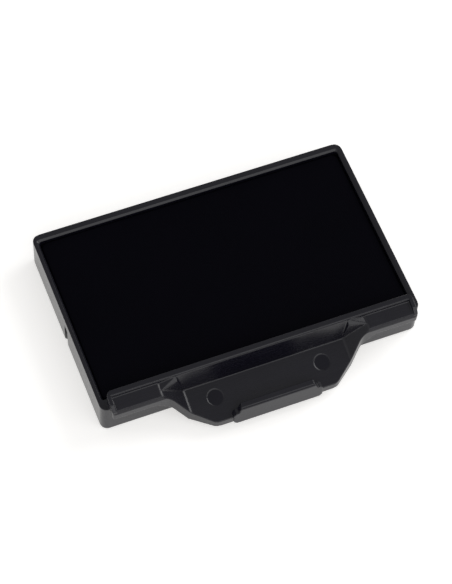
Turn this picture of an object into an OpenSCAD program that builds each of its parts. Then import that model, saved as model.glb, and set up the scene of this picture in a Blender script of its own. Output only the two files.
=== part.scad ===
// Replacement ink pad cartridge for a self-inking desk stamp.
// One moulded tray with a thumb grip, an ink-holding felt core and a cloth cover.
// Frame: X along the tray, -Y towards the thumb grip, +Z up.
// The origin is at the centre of the tray's base.

/* [Tray] */
// Length of the tray outside, along X
tray_l = 65; // [58:1:80]
// Width of the tray outside, along Y, without the grip
tray_w = 41; // [34:1:56]
// Height of the side and back rims
rim_h = 7.9; // [7:0.1:9]
// Thickness of the two end walls
end_wall = 1.1; // [0.9:0.1:1.4]
// Thickness of the back wall
back_wall = 1.5; // [1.1:0.1:2]
// Thickness of the front wall
front_wall = 2.3; // [2:0.1:2.8]
// Thickness of the floor
floor_t = 1.2; // [0.8:0.1:1.6]
// Plan radius of the outer corners
corner_r = 1.5; // [1.2:0.1:2]
// Radius of the outer edges under the tray
base_edge_r = 0.7; // [0.4:0.1:0.9]
// Bevel along the inner edge of the side and back rims
rim_bevel = 0.4; // [0.3:0.1:0.6]

/* [Front lip and strip] */
// Height of the lip above the base
lip_h = 11; // [10:0.1:12]
// Thickness of the lip
lip_t = 1.3; // [1:0.1:1.6]
// Gap between each end of the tray and the end of the lip
lip_inset = 1.5; // [1:0.1:2.5]
// How far the strip stands out in front of the tray
strip_reach = 2; // [1.5:0.1:2.6]
// Height of the strip's outer edge
strip_h = 9.4; // [9:0.1:9.8]
// Thickness of the strip, which shows at its outer edge
strip_t = 2; // [1.6:0.1:2.2]

/* [Thumb grip] */
// Downward slope of the strip and the grip plate, in degrees
grip_slope = 16; // [12:1:18]
// Thickness of the grip plate
plate_t = 1.6; // [1.3:0.1:1.8]
// Width of the recess between the strips, at their level
recess_top_w = 42; // [38:1:44]
// Width of the recess on the grip plate
recess_w = 32.5; // [28:0.5:34]
// Height of the grip plate's top face at the tray's front face
plate_h = 5.95; // [5.7:0.05:6.1]
// How far the grip plate reaches in front of the tray
grip_reach = 7.6; // [7:0.1:9]
// Width of the grip plate where it leaves the strips' front edge
grip_root_w = 38.8; // [37:0.2:40]
// Width of the grip plate's outer edge
grip_end_w = 24.6; // [23:0.2:28]
// Radius of the grip plate's rounded corners
grip_corner_r = 2.2; // [1:0.1:2.6]

/* [Grip bar] */
// Length of the bar along the grip's outer edge
bar_l = 15.6; // [12:0.2:18]
// Thickness of the bar
bar_t = 1.3; // [1:0.1:1.5]
// Height of the bar's top
bar_h = 7; // [6:0.1:8]
// Height of the bar's underside
bar_low = 2.2; // [1.5:0.1:2.5]
// Length of the low step at each end of the bar
bar_step_l = 1.2; // [0.8:0.1:1.8]

/* [Ink pad] */
// How far the inking face lies below the rim
pad_drop = 0.7; // [0.5:0.1:2]
// Gap between the cloth and the tray's walls
pad_gap = 0.15; // [0.1:0.05:0.4]
// Thickness of the cloth
cloth_t = 0.4; // [0.3:0.05:0.6]

/* [Small details] */
// Width of the detent notch in each end wall
notch_w = 1.6; // [1.2:0.1:2.4]
// Height of the detent notch
notch_h = 5.6; // [4:0.1:6.5]
// Depth of the detent notch
notch_d = 0.5; // [0.3:0.05:0.6]
// Diameter of the two round moulding marks on the grip plate
mark_d = 3.3; // [2:0.1:4]
// Distance between the moulding marks
mark_pitch = 21.8; // [16:0.2:24]

/* [Hidden] */
$fn = 48;

front_y = -tray_w / 2;
lip_front_y = front_y + front_wall - lip_t;
lip_back_y = front_y + front_wall;
lip_l = tray_l - 2 * lip_inset;
strip_front_y = front_y - strip_reach;
slope = tan(grip_slope);
wall_flare = 1.3;
well_l = tray_l - 2 * end_wall;
well_w = tray_w - back_wall - front_wall;
well_y = (front_wall - back_wall) / 2;
well_r = 0.6;
pad_l = well_l - 2 * pad_gap;
pad_w = well_w - 2 * pad_gap;
pad_top = rim_h - pad_drop;
pad_r = 0.8;
mark_y = front_y - 3;
mark_depth = 0.08;
arm_t = 0.8;
strip_corner_r = 0.5;
bend_r = 1.2;
side_t = 2.3;
skirt_t = 0.9;
skirt_low = 2.1;
bar_in = 0.95;
over = 1;
// Thickness of the thin sheets that hulls are drawn between
sheet_t = 0.01;
// Overlap between neighbouring solids, so that no two faces only touch
lap = 0.3;
// Lowest and highest point of the leaning wall behind the recess
wall_low = plate_h - lap;
wall_top = lip_h - lap;
// Height of that wall's foot and head, between which it widens
wall_foot = 0.5;
wall_head = 0.6;
// The grip plate's sides turn by this angle away from the strips' front edge
grip_turn = atan2(grip_reach - strip_reach, (grip_root_w - grip_end_w) / 2);

// Height of the grip plate's top face at a given y
function plate_z(y) = plate_h + slope * (y - front_y);

// Height of the strip's top face at a given y
function strip_z(y) = strip_h + slope * (y - strip_front_y);

// Position of the leaning wall behind the recess at a given height
function lean_y(z) = lip_front_y
    + (front_y - lip_front_y) * (lip_h - z) / (lip_h - plate_h);

// Position of the grip plate's side edge at a given y
function grip_side_x(y) = grip_root_w / 2 - (strip_front_y - y) / tan(grip_turn);

// Points along an arc in the plan
function arc(centre, r, from, to, steps = 6) = [
    for (i = [0:steps])
        let (a = from + (to - from) * i / steps)
            centre + r * [cos(a), sin(a)]
];

// Rectangle with round corners, centred on the origin
module rounded_plan(l, w, r) {
    square([l - 2 * r, w], center = true);
    square([l, w - 2 * r], center = true);
    for (sx = [-1, 1], sy = [-1, 1])
        translate([sx * (l / 2 - r), sy * (w / 2 - r)])
            circle(r = r);
}

module rounded_block(l, w, h, r) {
    linear_extrude(h)
        rounded_plan(l, w, r);
}

// Extrudes a profile drawn in Y and Z along X, centred on the origin
module along_x(l) {
    rotate([90, 0, 90])
        translate([0, 0, -l / 2])
            linear_extrude(l)
                children();
}

// Places a child and its mirror image at the other end of the tray
module both_ends() {
    children();
    mirror([1, 0, 0])
        children();
}

// Block with round corners in the plan and a round edge at its bottom
module soft_block(l, w, h, r, base_r) {
    hull() {
        for (a = [0:30:60]) {
            inset = base_r * (1 - sin(a));
            translate([0, 0, base_r * (1 - cos(a))])
                rounded_block(l - 2 * inset, w - 2 * inset, sheet_t, r - inset);
        }
        translate([0, 0, base_r])
            rounded_block(l, w, h - base_r, r);
    }
}

// Space that the bevel takes off the inner edge of the side and back rims
module rim_bevel_cut() {
    inset = 0.05;
    hull() {
        translate([0, well_y, rim_h - rim_bevel - inset])
            rounded_block(well_l - 2 * inset, well_w - 2 * inset, sheet_t, well_r);
        translate([0, well_y + rim_bevel / 2, rim_h])
            rounded_block(well_l + 2 * rim_bevel, well_w + rim_bevel, sheet_t, well_r);
    }
}

// Outline of the lip and its arms, rounded at the corners
module strip_half_plan() {
    end_x = lip_l / 2;
    polygon(concat(
        [[-over, lip_back_y]],
        arc([end_x - lip_t, lip_back_y - lip_t], lip_t, 90, 0),
        arc([end_x - strip_corner_r, strip_front_y + strip_corner_r], strip_corner_r, 0, -90),
        [[-over, strip_front_y]]
    ));
}

// Outline of one half of the strip and the grip plate, seen from above
module grip_half_plan() {
    root_y = strip_front_y;
    outer_y = front_y - grip_reach;
    end_in = 0.05;
    end_x = lip_l / 2 - end_in;
    tangent = grip_corner_r * tan(grip_turn / 2);
    root_centre = [grip_root_w / 2 + tangent, root_y - grip_corner_r];
    outer_centre = [grip_end_w / 2 - tangent, outer_y + grip_corner_r];
    polygon(concat(
        [[-over, lip_front_y + lap], [end_x, lip_front_y + lap]],
        arc([end_x - strip_corner_r, root_y + strip_corner_r], strip_corner_r, 0, -90),
        arc(root_centre, grip_corner_r, 90, 90 + grip_turn),
        arc(outer_centre, grip_corner_r, 270 + grip_turn, 270),
        [[-over, outer_y]]
    ));
}

// Lip that runs the whole length of the front wall, rounded along its top
module lip() {
    front_r = 0.4;
    back_r = 0.25;
    along_x(lip_l)
        polygon(concat(
            [[lip_front_y, rim_h - over]],
            arc([lip_front_y + front_r, lip_h - front_r], front_r, 180, 90),
            arc([lip_back_y - back_r, lip_h - back_r], back_r, 90, 0),
            [[lip_back_y, rim_h - over]]
        ));
}

// Ledge on the front wall that carries the strip, to one side of the recess
module ledge() {
    reach_in = 0.5;
    end_in = 0.1;
    ledge_l = (lip_l - recess_top_w) / 2 + reach_in;
    top_z = strip_z(front_y) - strip_t / 2;
    translate([(lip_l - ledge_l) / 2 - end_in, 0, 0])
        along_x(ledge_l)
            polygon([
                [front_y, rim_h - over],
                [front_y, top_z],
                [lip_front_y + lap, top_z],
                [lip_front_y + lap, rim_h - over]
            ]);
}

// Low arm that closes the end of the strip
module strip_arm() {
    toe_y = strip_front_y + 0.2;
    toe_rise = 0.1;
    bend_y = front_y - 0.7;
    bend_rise = 0.7;
    translate([lip_l / 2 - arm_t / 2, 0, 0])
        along_x(arm_t)
            polygon([
                [toe_y, strip_h - over],
                [toe_y, strip_h + toe_rise],
                [bend_y, strip_z(bend_y) + bend_rise],
                [lip_front_y, lip_h],
                [lip_back_y, lip_h],
                [lip_back_y, strip_h - over]
            ]);
}

// Profile of the leaning wall behind the thumb recess, between two heights
module lean_profile(low, top) {
    polygon([
        [lean_y(top), top],
        [lean_y(low), low],
        [lip_back_y - lap, low],
        [lip_back_y - lap, top]
    ]);
}

// Space that the thumb recess takes out of the front wall's top edge
module recess_cut() {
    widening = 0.6;
    cut_l = recess_w + widening * (recess_top_w - recess_w);
    along_x(cut_l)
        polygon([
            [lean_y(plate_h), plate_h],
            [lean_y(lip_h), lip_h],
            [strip_front_y, lip_h],
            [strip_front_y, plate_h]
        ]);
}

// The wall widens upwards; its ends lie a little inside the corners
module recess_wall() {
    end_in = 0.05;
    hull() {
        along_x(recess_w - 2 * end_in)
            lean_profile(wall_low, wall_low + wall_foot);
        along_x(recess_w + 2 * (wall_flare - end_in))
            lean_profile(wall_top - wall_head, wall_top);
    }
}

// Corner block of the recess: it stands upright in front of the leaning wall, below the strip
module recess_corner() {
    slice = 0.1;
    below = 0.2;
    shelf_y = front_y - 0.6;
    block_y = front_y + 0.2;
    top_z = wall_top - 0.05;
    hull() {
        translate([recess_w / 2 - slice, slice / 2, 0])
            along_x(slice)
                lean_profile(wall_low, wall_low + wall_foot);
        translate([recess_w / 2 + wall_flare - slice, 0, 0])
            along_x(slice)
                polygon([
                    [block_y, top_z - wall_head],
                    [lip_front_y, top_z],
                    [lip_back_y - lap, top_z],
                    [lip_back_y - lap, top_z - wall_head]
                ]);
        translate([recess_top_w / 2 + lap, 0, -below])
            along_x(slice)
                polygon([
                    [shelf_y, strip_z(shelf_y)],
                    [lip_front_y + lap, strip_z(lip_front_y)],
                    [lip_front_y + lap, strip_h - over]
                ]);
    }
}

// Space that the bevel takes off the strips' upper front edge
module strip_bevel_cut() {
    low = 0.6;
    back = 0.35;
    along_x(tray_l)
        polygon([
            [strip_front_y - back, strip_h - 2 * low],
            [strip_front_y + back, strip_h],
            [strip_front_y + 2 * back, strip_h + low],
            [strip_front_y - back, strip_h + low]
        ]);
}

// Sheet bent like a hat: the grip plate with its skirt, two sides that slope up, and the strips
module bent_plate() {
    rise = (strip_z(front_y) - plate_h) * cos(grip_slope);
    difference() {
        intersection() {
            down_the_slope()
                both_ends()
                    hat_half_profile(rise);
            translate([0, 0, skirt_low])
                linear_extrude(2 * lip_h)
                    both_ends()
                        grip_half_plan();
        }
        grip_pocket();
        strip_bevel_cut();
    }
}

// Extrudes a profile along the slope of the grip, with its zero height on the plate's top face
module down_the_slope() {
    translate([0, front_y, plate_h])
        rotate([grip_slope, 0, 0])
            translate([0, front_wall, 0])
                rotate([90, 0, 0])
                    linear_extrude(grip_reach + front_wall + 2 * over)
                        children();
}

// Hollow under the grip plate, inside its skirt
module grip_pocket() {
    intersection() {
        down_the_slope()
            translate([0, -plate_t - lip_h / 2])
                square([recess_top_w, lip_h], center = true);
        linear_extrude(lip_h)
            both_ends()
                pocket_half_plan();
    }
}

module pocket_half_plan() {
    wall_gap = 0.05;
    inner_y = front_y - wall_gap;
    outer_y = front_y - grip_reach + skirt_t;
    side_in = skirt_t / sin(grip_turn);
    polygon([
        [-over, inner_y],
        [grip_side_x(inner_y) - side_in, inner_y],
        [grip_side_x(outer_y) - side_in, outer_y],
        [-over, outer_y]
    ]);
}

// Profile of one half of the bent sheet, with the grip plate's top at height zero
module hat_half_profile(rise) {
    top = recess_top_w / 2;
    low = recess_w / 2;
    turn = atan2(rise, top - low);
    tangent = bend_r * tan(turn / 2);
    side_h = side_t / cos(turn);
    depth = lip_h / 2;
    polygon(concat(
        [[-over, 0]],
        arc([low - tangent, bend_r], bend_r, 270, 270 + turn),
        arc([top + tangent, rise - bend_r], bend_r, 90 + turn, 90),
        [
            [lip_l / 2 + over, rise],
            [lip_l / 2 + over, rise - strip_t],
            [low + (rise - strip_t + side_h) / tan(turn), rise - strip_t],
            [low + (side_h - depth) / tan(turn), -depth],
            [-over, -depth]
        ]
    ));
}

// Upright bar along the outer edge of the grip, with a low step at each end
module grip_bar() {
    back_y = front_y - grip_reach + bar_in;
    foot_out = 0.3;
    bevel = 0.3;
    intersection() {
        along_x(bar_l + 2 * bar_step_l)
            polygon([
                [back_y, bar_h],
                [back_y - bar_t + bevel, bar_h - slope * (bar_t - bevel)],
                [back_y - bar_t, bar_h - slope * bar_t - bevel],
                [back_y - bar_t - foot_out, bar_low],
                [back_y - foot_out, bar_low]
            ]);
        rotate([90, 0, 0])
            linear_extrude(2 * tray_w)
                bar_outline();
    }
}

// Front view of the bar: lower steps at its ends, and its corners cut off
module bar_outline() {
    half = bar_l / 2;
    end_x = half + bar_step_l;
    step_h = bar_h - 1.6;
    foot = 0.6;
    shoulder = 0.5;
    step_toe = 0.2;
    polygon([
        [foot - end_x, bar_low],
        [-end_x, bar_low + foot],
        [-end_x, step_h - shoulder],
        [shoulder - end_x, step_h],
        [-half - step_toe, step_h],
        [shoulder - half, bar_h],
        [half - shoulder, bar_h],
        [half + step_toe, step_h],
        [end_x - shoulder, step_h],
        [end_x, step_h - shoulder],
        [end_x, bar_low + foot],
        [end_x - foot, bar_low]
    ]);
}

// Shallow round marks left by the mould on the grip plate
module moulding_marks() {
    both_ends()
        translate([mark_pitch / 2, mark_y, plate_z(mark_y)])
            rotate([grip_slope, 0, 0])
                translate([0, 0, -mark_depth])
                    cylinder(d = mark_d, h = over);
}

// Notch in the end wall that a spring in the stamp snaps into
module detent_notch() {
    translate([tray_l / 2, 0, -over])
        linear_extrude(notch_h + over)
            polygon([
                [over, notch_w / 2],
                [-notch_d, notch_w / 2],
                [-notch_d, 0],
                [0, -notch_w / 2],
                [over, -notch_w / 2]
            ]);
}

module tray() {
    color("#26272a")
        difference() {
            union() {
                difference() {
                    soft_block(tray_l, tray_w, rim_h, corner_r, base_edge_r);
                    recess_cut();
                }
                intersection() {
                    union() {
                        lip();
                        both_ends()
                            strip_arm();
                    }
                    linear_extrude(2 * lip_h)
                        both_ends()
                            strip_half_plan();
                }
                both_ends()
                    ledge();
                recess_wall();
                both_ends()
                    recess_corner();
                bent_plate();
                grip_bar();
            }
            translate([0, well_y, floor_t])
                rounded_block(well_l, well_w, 2 * lip_h, well_r);
            rim_bevel_cut();
            moulding_marks();
            both_ends()
                detent_notch();
        }
}

module ink_core() {
    color("#0b0b0f")
        translate([0, well_y, floor_t])
            rounded_block(
                pad_l - 2 * cloth_t,
                pad_w - 2 * cloth_t,
                pad_top - cloth_t - floor_t,
                pad_r - cloth_t
            );
}

module cover_cloth() {
    color("#101016")
        translate([0, well_y, floor_t])
            difference() {
                rounded_block(pad_l, pad_w, pad_top - floor_t, pad_r);
                translate([0, 0, -over])
                    rounded_block(
                        pad_l - 2 * cloth_t,
                        pad_w - 2 * cloth_t,
                        pad_top - cloth_t - floor_t + over,
                        pad_r - cloth_t
                    );
            }
}

tray();
ink_core();
cover_cloth();
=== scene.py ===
import math

import bmesh
import bpy
from mathutils import Matrix, Vector, noise


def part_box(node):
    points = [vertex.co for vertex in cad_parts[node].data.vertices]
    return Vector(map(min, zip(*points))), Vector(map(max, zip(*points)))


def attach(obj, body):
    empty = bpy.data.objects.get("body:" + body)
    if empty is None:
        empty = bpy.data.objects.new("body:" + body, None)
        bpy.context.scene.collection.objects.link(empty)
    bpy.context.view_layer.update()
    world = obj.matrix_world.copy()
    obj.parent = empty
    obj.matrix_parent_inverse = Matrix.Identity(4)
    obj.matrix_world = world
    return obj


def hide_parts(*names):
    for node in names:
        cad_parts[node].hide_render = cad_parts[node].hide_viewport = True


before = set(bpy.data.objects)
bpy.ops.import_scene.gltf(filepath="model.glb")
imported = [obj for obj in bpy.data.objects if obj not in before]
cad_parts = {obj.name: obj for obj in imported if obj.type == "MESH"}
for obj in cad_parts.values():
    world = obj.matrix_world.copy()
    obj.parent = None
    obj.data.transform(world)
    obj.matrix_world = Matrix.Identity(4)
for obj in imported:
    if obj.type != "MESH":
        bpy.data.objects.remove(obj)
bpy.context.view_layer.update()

MM = 0.001

# Where the camera stands and looks, in millimetres from the centre of the tray's base
CAMERA_AT = Vector((-93.17, -209.31, 384.71))
CAMERA_AIM = Vector((0.58, 0.07, 0.0))
CAMERA_ROLL = math.radians(3.34)
CAMERA_LENS = 140.61

# The tray's skin: cell size before its edges are rounded, smoothing steps, share of faces kept
SKIN_CELL = 0.10
EDGE_ROUNDING = 3
SKIN_SHARE = 0.09

# How far from an edge the plastic is lightened, partly as wear and partly as a painted highlight
EDGE_WEAR_AND_SHEEN = 0.22

# Centre and radius of the round moulding marks on the grip plate
MARK_AT = (10.9, -23.5)
MARK_R = 1.65

# Felt core and cloth: mesh cell, radius of the upper edges, radius of the corners in the plan
FELT_CELL = 1.0
FELT_EDGE_R = 0.35
FELT_CORNER_R = 0.7
CLOTH_CELL = 0.5
CLOTH_EDGE_R = 0.3
CLOTH_CORNER_R = 1.0
CLOTH_THICKNESS = 0.25
WEAVE_PITCH = 0.42

# How far both sag towards their edges, and how uneven they are
CROWN = 0.12
UNEVEN = 0.05
# Width of the border where their mesh is finer
FINE_BORDER = 1.2

# Base colours. A pair runs from the darkest to the lightest patches
PLASTIC = ((0.0040, 0.0037, 0.0082), (0.0060, 0.0057, 0.0108))
# Lighter edge colour: partly wear, partly a painted highlight along the edges
WORN_AND_SHEEN_PLASTIC = (0.009, 0.009, 0.012, 1.0)
CLOTH_DRY = (0.0018, 0.0016, 0.0036)
CLOTH_WET = (0.0012, 0.0011, 0.0028)
FELT = ((0.0025, 0.0025, 0.0040), (0.0090, 0.0088, 0.0120))
FLOOR = ((0.86, 0.86, 0.86), (0.88, 0.88, 0.88))
FLOOR_GLOW = (1.0, 0.985, 0.96, 1.0)

# Half the width of the studio floor, how far it lies under the tray, and the glow of floor and sky
FLOOR_REACH = 1500
FLOOR_DROP = 0.02
FLOOR_GLOW_STRENGTH = 0.53
SKY_STRENGTH = 0.35

# Lights that look at the tray: place and size in millimetres, power in watts
LIGHTS = {
    "key_right": ((790, 140, 660), (550, 550), 3.0),
    "front": ((220, -740, 660), (1300, 700), 3.2),
    "fill_left": ((-600, -300, 740), (900, 900), 0.7),
}


# ---------------------------------------------------------------- node helpers


def material(name):
    """A new node material, with its tree and its Principled shader."""
    made = bpy.data.materials.new(name)
    made.use_nodes = True
    tree = made.node_tree
    return made, tree, tree.nodes["Principled BSDF"]


def node(tree, kind, inputs=None, **settings):
    """Adds a node. inputs maps a socket's name or number to a value or to another node's output."""
    made = tree.nodes.new(kind)
    for key, value in settings.items():
        setattr(made, key, value)
    for key, value in (inputs or {}).items():
        if isinstance(value, bpy.types.NodeSocket):
            tree.links.new(value, made.inputs[key])
        else:
            made.inputs[key].default_value = value
    return made


def maths(tree, operation, a, b=0.0):
    return node(tree, "ShaderNodeMath", {0: a, 1: b}, operation=operation).outputs[0]


def millimetres(tree, scale=(1.0, 1.0, 1.0)):
    """The object's own coordinates, in millimetres, stretched by scale."""
    place = node(tree, "ShaderNodeTexCoord").outputs["Object"]
    size = tuple(s / MM for s in scale)
    return node(tree, "ShaderNodeMapping", {"Vector": place, "Scale": size}).outputs[0]


def noise_value(tree, where, scale, detail=3.0, roughness=0.55):
    inputs = {"Vector": where, "Scale": scale, "Detail": detail, "Roughness": roughness}
    return node(tree, "ShaderNodeTexNoise", inputs).outputs[0]


def between(tree, value, low, high, to_low, to_high):
    """Maps value from the range low to high onto the range to_low to to_high, and clamps it."""
    inputs = {0: value, 1: low, 2: high, 3: to_low, 4: to_high}
    return node(tree, "ShaderNodeMapRange", inputs).outputs[0]


def bump(tree, height, distance, strength=1.0, normal=None):
    inputs = {"Height": height, "Distance": distance * MM, "Strength": strength}
    if normal is not None:
        inputs["Normal"] = normal
    return node(tree, "ShaderNodeBump", inputs).outputs[0]


def tint(tree, factor, low, high):
    """A colour that runs from low to high with factor."""
    inputs = {0: factor, 6: (*low, 1.0), 7: (*high, 1.0)}
    return node(tree, "ShaderNodeMix", inputs, data_type="RGBA").outputs[2]


# ---------------------------------------------------------------- materials


def edge_mask(tree, radius):
    """Near 1 within radius of a sharp edge, and 0 on flat faces."""
    rounded = node(tree, "ShaderNodeBevel", {"Radius": radius * MM}, samples=4).outputs[0]
    flat = node(tree, "ShaderNodeNewGeometry").outputs["Normal"]
    same = node(tree, "ShaderNodeVectorMath", {0: rounded, 1: flat}, operation="DOT_PRODUCT")
    return between(tree, same.outputs["Value"], 0.995, 0.85, 0.0, 1.0)


def mark_mask(tree):
    """1 inside the two round marks that the mould's pins leave on the grip plate."""
    apart = node(tree, "ShaderNodeSeparateXYZ", {0: millimetres(tree)})
    side = maths(tree, "SUBTRACT", maths(tree, "ABSOLUTE", apart.outputs[0]), MARK_AT[0])
    ahead = maths(tree, "SUBTRACT", apart.outputs[1], MARK_AT[1])
    side_squared = maths(tree, "MULTIPLY", side, side)
    ahead_squared = maths(tree, "MULTIPLY", ahead, ahead)
    away = maths(tree, "SQRT", maths(tree, "ADD", side_squared, ahead_squared))
    return between(tree, away, MARK_R - 0.05, MARK_R - 0.3, 0.0, 1.0)


def tray_plastic():
    """Satin black moulded plastic: fine spark texture, faint flow marks, scuffs, and polished edges
    lightened partly by wear and partly by a painted highlight.
    """
    made, tree, shader = material("tray_plastic")
    place = millimetres(tree)
    spark = noise_value(tree, place, 5.5, detail=2.0, roughness=0.6)
    flow = noise_value(tree, millimetres(tree, (0.05, 0.3, 0.3)), 1.0, detail=2.0)
    blotch = noise_value(tree, place, 0.12, detail=3.0)
    scuff = noise_value(tree, millimetres(tree, (0.25, 3.0, 1.5)), 1.0, detail=4.0, roughness=0.7)
    edges = edge_mask(tree, EDGE_WEAR_AND_SHEEN)

    body = tint(tree, between(tree, blotch, 0.3, 0.7, 0.0, 1.0), *PLASTIC)
    # Lightens the plastic along every sharp edge, creases included: partly wear, partly a painted
    # highlight
    wear_and_sheen = maths(tree, "MULTIPLY", edges, between(tree, scuff, 0.35, 0.65, 0.15, 0.75))
    inputs = {0: wear_and_sheen, 6: body, 7: WORN_AND_SHEEN_PLASTIC}
    colour = node(tree, "ShaderNodeMix", inputs, data_type="RGBA").outputs[2]
    tree.links.new(colour, shader.inputs["Base Color"])

    polished = mark_mask(tree)
    scuffed = between(tree, scuff, 0.3, 0.75, 0.20, 0.27)
    rough = maths(tree, "ADD", scuffed, maths(tree, "MULTIPLY", flow, 0.06))
    rough = maths(tree, "SUBTRACT", rough, maths(tree, "MULTIPLY", edges, 0.04))
    rough = maths(tree, "SUBTRACT", rough, maths(tree, "MULTIPLY", polished, 0.06))
    tree.links.new(rough, shader.inputs["Roughness"])
    shader.inputs["IOR"].default_value = 1.5
    shine = between(tree, polished, 0.0, 1.0, 0.5, 0.34)
    tree.links.new(shine, shader.inputs["Specular IOR Level"])

    skin = bump(tree, spark, 0.006)
    waves = bump(tree, flow, 0.03, 0.5, skin)
    tree.links.new(waves, shader.inputs["Normal"])
    return made


def weave(tree, pitch):
    """Height of a plain weave in the cloth's plane, from 0 to 1."""
    place = millimetres(tree, (1.0 / pitch,) * 3)
    drift = noise_value(tree, millimetres(tree), 0.35, detail=2.0)
    apart = node(tree, "ShaderNodeSeparateXYZ", {0: place})
    along = maths(tree, "ADD", apart.outputs[0], maths(tree, "MULTIPLY", drift, 0.5))
    across = maths(tree, "ADD", apart.outputs[1], maths(tree, "MULTIPLY", drift, 0.4))
    warp = maths(tree, "SINE", maths(tree, "MULTIPLY", along, math.tau))
    weft = maths(tree, "SINE", maths(tree, "MULTIPLY", across, math.tau))
    crossed = maths(tree, "MULTIPLY", warp, weft)
    return maths(tree, "ADD", maths(tree, "MULTIPLY", crossed, 0.5), 0.5)


def ink_cloth():
    """Fine plain-weave cloth soaked with black ink, with slightly wetter and drier patches."""
    made, tree, shader = material("ink_cloth")
    height = weave(tree, WEAVE_PITCH)
    fuzz = noise_value(tree, millimetres(tree), 7.0, detail=3.0, roughness=0.7)
    wet = noise_value(tree, millimetres(tree), 0.09, detail=4.0)
    wetness = between(tree, wet, 0.35, 0.65, 0.0, 1.0)
    tree.links.new(tint(tree, wetness, CLOTH_DRY, CLOTH_WET), shader.inputs["Base Color"])
    tree.links.new(between(tree, wet, 0.35, 0.65, 0.72, 0.56), shader.inputs["Roughness"])
    shader.inputs["Specular IOR Level"].default_value = 0.03
    threads = bump(tree, height, 0.05, 0.8)
    tree.links.new(bump(tree, fuzz, 0.015, 0.7, threads), shader.inputs["Normal"])
    return made


def ink_felt():
    """Dense felt soaked with ink: short matted fibres."""
    made, tree, shader = material("ink_felt")
    fibres = noise_value(tree, millimetres(tree, (1.0, 3.0, 3.0)), 2.5, detail=5.0, roughness=0.75)
    tufts = noise_value(tree, millimetres(tree), 0.8, detail=3.0)
    tree.links.new(tint(tree, fibres, *FELT), shader.inputs["Base Color"])
    tree.links.new(between(tree, tufts, 0.3, 0.7, 0.70, 0.92), shader.inputs["Roughness"])
    shader.inputs["Specular IOR Level"].default_value = 0.2
    nap = bump(tree, fibres, 0.12, 0.9)
    tree.links.new(bump(tree, tufts, 0.2, 0.5, nap), shader.inputs["Normal"])
    return made


def floor_paper():
    """White table, faintly lit from below."""
    made, tree, shader = material("floor_paper")
    tooth = noise_value(tree, millimetres(tree), 1.5, detail=4.0)
    tree.links.new(tint(tree, tooth, *FLOOR), shader.inputs["Base Color"])
    shader.inputs["Roughness"].default_value = 0.9
    shader.inputs["Specular IOR Level"].default_value = 0.1
    shader.inputs["Emission Color"].default_value = FLOOR_GLOW
    shader.inputs["Emission Strength"].default_value = FLOOR_GLOW_STRENGTH
    return made


# ---------------------------------------------------------------- pieces


def dress_tray():
    """Keeps the CAD tray, softens its edges as moulded edges are and gives it its plastic."""
    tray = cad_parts["tray"]
    fine = tray.modifiers.new("fine_skin", "REMESH")
    fine.mode = "VOXEL"
    fine.voxel_size = SKIN_CELL * MM
    fine.adaptivity = 0.0
    soft = tray.modifiers.new("soft_edges", "SMOOTH")
    soft.factor = 0.5
    soft.iterations = EDGE_ROUNDING
    fewer = tray.modifiers.new("fewer_faces", "DECIMATE")
    fewer.decimate_type = "COLLAPSE"
    fewer.ratio = SKIN_SHARE
    smooth_shading(tray)
    even = tray.modifiers.new("even_normals", "WEIGHTED_NORMAL")
    even.weight = 80
    tray.data.materials.clear()
    tray.data.materials.append(tray_plastic())


def smooth_shading(piece):
    """Shades a piece smooth with a modifier, so that its own mesh stays as it is."""
    group = bpy.data.node_groups.new("smooth_shading", "GeometryNodeTree")
    group.interface.new_socket("Geometry", in_out="INPUT", socket_type="NodeSocketGeometry")
    group.interface.new_socket("Geometry", in_out="OUTPUT", socket_type="NodeSocketGeometry")
    start = group.nodes.new("NodeGroupInput")
    smooth = group.nodes.new("GeometryNodeSetShadeSmooth")
    end = group.nodes.new("NodeGroupOutput")
    group.links.new(start.outputs[0], smooth.inputs[0])
    group.links.new(smooth.outputs[0], end.inputs[0])
    piece.modifiers.new("smooth_shading", "NODES").node_group = group


def block_point(u, v, half_l, half_w, r):
    """A point of a square (u, v from -1 to 1) moved onto a rectangle with round corners."""
    x, y = u * half_l, v * half_w
    cx, cy = half_l - r, half_w - r
    if abs(x) > cx and abs(y) > cy:
        corner = Vector((math.copysign(cx, x), math.copysign(cy, y)))
        out = Vector((x, y)) - corner
        reach = max(abs(out.x), abs(out.y))
        if out.length > 0:
            return corner + out.normalized() * reach
    return Vector((x, y))


def wander(x, y, scale, seed):
    """Smooth noise from -1 to 1, in millimetres."""
    return noise.noise(Vector((x * scale + 13.7 * seed, y * scale - 7.3 * seed, 0.37 * seed)))


def steps(half, cell):
    """Positions from -half to half: about a cell apart, and closer together along the border."""
    inner = half - FINE_BORDER
    count = max(2, round(2 * inner / cell))
    middle = [-inner + 2 * inner * i / count for i in range(count + 1)]
    close = [inner + FINE_BORDER * f for f in (0.25, 0.5, 0.75, 1.0)]
    return [-c for c in reversed(close)] + middle + close


def top_grid(mesh, low, high, edge_r, corner_r, cell):
    """The crowned, uneven top. Returns its vertices by column and row."""
    half_l = (high.x - low.x) / 2
    half_w = (high.y - low.y) / 2
    centre = (low + high) / 2
    grid = []
    for x in steps(half_l, cell):
        column = []
        for y in steps(half_w, cell):
            p = block_point(x / half_l, y / half_w, half_l - edge_r, half_w - edge_r, corner_r)
            sag = CROWN * (1 - (1 - (x / half_l) ** 8) * (1 - (y / half_w) ** 8))
            waves = UNEVEN * (0.6 * wander(x, y, 0.18, 1) + 0.4 * wander(x, y, 0.8, 2))
            z = high.z - UNEVEN - sag + waves
            column.append(mesh.verts.new((centre.x + p.x, centre.y + p.y, z)))
        grid.append(column)
    for left, right in zip(grid, grid[1:]):
        for j in range(len(left) - 1):
            mesh.faces.new([left[j], right[j], right[j + 1], left[j + 1]])
    return grid


def border(grid):
    """The grid's outermost vertices, in order round it."""
    ring = [column[0] for column in grid[:-1]]
    ring += grid[-1][:-1]
    ring += [column[-1] for column in reversed(grid[1:])]
    ring += reversed(grid[0][1:])
    return ring


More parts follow.
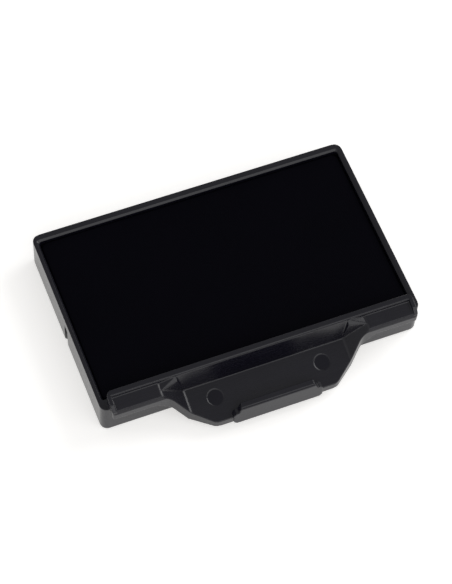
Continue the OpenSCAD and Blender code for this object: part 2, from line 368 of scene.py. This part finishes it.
def outward_from(ring):
    """The level direction away from the block at each vertex of a ring."""
    away = []
    for n in range(len(ring)):
        ahead = ring[(n + 1) % len(ring)].co
        behind = ring[n - 1].co
        along = (ahead - behind).normalized()
        away.append(Vector((along.y, -along.x, 0.0)))
    return away


def side_rows(edge_r, drop_left):
    """How far out and how far down each row of the sides lies: round the edge, then straight down."""
    rows = []
    for degrees in (22.5, 45, 67.5, 90):
        a = math.radians(degrees)
        rows.append((math.sin(a) * edge_r, (1 - math.cos(a)) * edge_r))
    return rows + [(edge_r, edge_r + drop_left * f) for f in (0.2, 0.45, 0.7)]


def capped_block(name, low, high, edge_r, corner_r, cell, closed):
    """A soft block with a crowned top, rounded upper edges and, if closed, an underside."""
    mesh = bmesh.new()
    ring = border(top_grid(mesh, low, high, edge_r, corner_r, cell))
    outward = outward_from(ring)
    drop_left = high.z - low.z - edge_r - CROWN - 2 * UNEVEN
    previous = ring
    for out, down in side_rows(edge_r, drop_left):
        row = []
        for v, direction in zip(ring, outward):
            wobble = 0.5 * UNEVEN * (wander(v.co.x, v.co.y, 0.9, 3) * out / edge_r - 1.0)
            offset = direction * (out + wobble) - Vector((0, 0, down))
            row.append(mesh.verts.new(v.co + offset))
        join_rings(mesh, previous, row)
        previous = row
    base = [mesh.verts.new((v.co.x, v.co.y, low.z)) for v in previous]
    join_rings(mesh, previous, base)
    if closed:
        mesh.faces.new(list(reversed(base)))
    bmesh.ops.recalc_face_normals(mesh, faces=mesh.faces)
    return object_from(name, mesh)


def join_rings(mesh, upper, lower):
    """Closes the band between two rings of vertices."""
    for n in range(len(upper)):
        m = (n + 1) % len(upper)
        mesh.faces.new([upper[n], lower[n], lower[m], upper[m]])


def object_from(name, mesh):
    """Turns a bmesh in millimetres into an object in metres."""
    data = bpy.data.meshes.new(name)
    mesh.to_mesh(data)
    mesh.free()
    data.transform(Matrix.Scale(MM, 4))
    for face in data.polygons:
        face.use_smooth = True
    made = bpy.data.objects.new(name, data)
    bpy.context.scene.collection.objects.link(made)
    return made


def make_core():
    """The felt block that holds the ink."""
    low, high = (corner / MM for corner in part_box("ink_core"))
    core = capped_block("felt_core", low, high, FELT_EDGE_R, FELT_CORNER_R, FELT_CELL, closed=True)
    core.data.materials.append(ink_felt())
    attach(core, "root")
    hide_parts("ink_core")


def make_cloth():
    """The cloth drawn over the felt and down its sides."""
    low, high = (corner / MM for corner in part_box("cover_cloth"))
    shape = (CLOTH_EDGE_R, CLOTH_CORNER_R, CLOTH_CELL)
    cloth = capped_block("cover_cloth_drawn", low, high, *shape, closed=False)
    thick = cloth.modifiers.new("cloth_thickness", "SOLIDIFY")
    thick.thickness = CLOTH_THICKNESS * MM
    thick.offset = -1.0
    cloth.data.materials.append(ink_cloth())
    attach(cloth, "root")
    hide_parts("cover_cloth")


# ---------------------------------------------------------------- studio


def make_floor():
    """A large pale floor just under the tray's base, so that the two faces don't coincide."""
    mesh = bmesh.new()
    bmesh.ops.create_grid(mesh, x_segments=8, y_segments=8, size=FLOOR_REACH)
    floor = object_from("studio_floor", mesh)
    floor.location.z = -FLOOR_DROP * MM
    floor.data.materials.append(floor_paper())


def area_light(name, at, size, power):
    """A rectangular soft light that looks at the centre of the tray's base."""
    data = bpy.data.lights.new(name, "AREA")
    data.shape = "RECTANGLE"
    data.size, data.size_y = (s * MM for s in size)
    data.energy = power
    light = bpy.data.objects.new(name, data)
    light.location = Vector(at) * MM
    light.rotation_mode = "QUATERNION"
    light.rotation_quaternion = (-Vector(at)).to_track_quat("-Z", "Y")
    bpy.context.scene.collection.objects.link(light)


def light_studio():
    world = bpy.data.worlds.new("studio")
    world.use_nodes = True
    sky = world.node_tree.nodes["Background"]
    sky.inputs["Color"].default_value = (1.0, 1.0, 1.0, 1.0)
    sky.inputs["Strength"].default_value = SKY_STRENGTH
    bpy.context.scene.world = world
    bpy.context.scene.view_settings.view_transform = "Standard"
    for name, (at, size, power) in LIGHTS.items():
        area_light(name, at, size, power)


def make_camera():
    data = bpy.data.cameras.new("camera")
    data.lens = CAMERA_LENS
    data.sensor_width = 36.0
    camera = bpy.data.objects.new("camera", data)
    camera.rotation_mode = "QUATERNION"
    camera.location = CAMERA_AT * MM
    level = (CAMERA_AIM - CAMERA_AT).to_track_quat("-Z", "Y")
    camera.rotation_quaternion = level @ Matrix.Rotation(CAMERA_ROLL, 4, "Z").to_quaternion()
    bpy.context.scene.collection.objects.link(camera)
    bpy.context.scene.camera = camera


make_camera()
dress_tray()
make_core()
make_cloth()
make_floor()
light_studio()
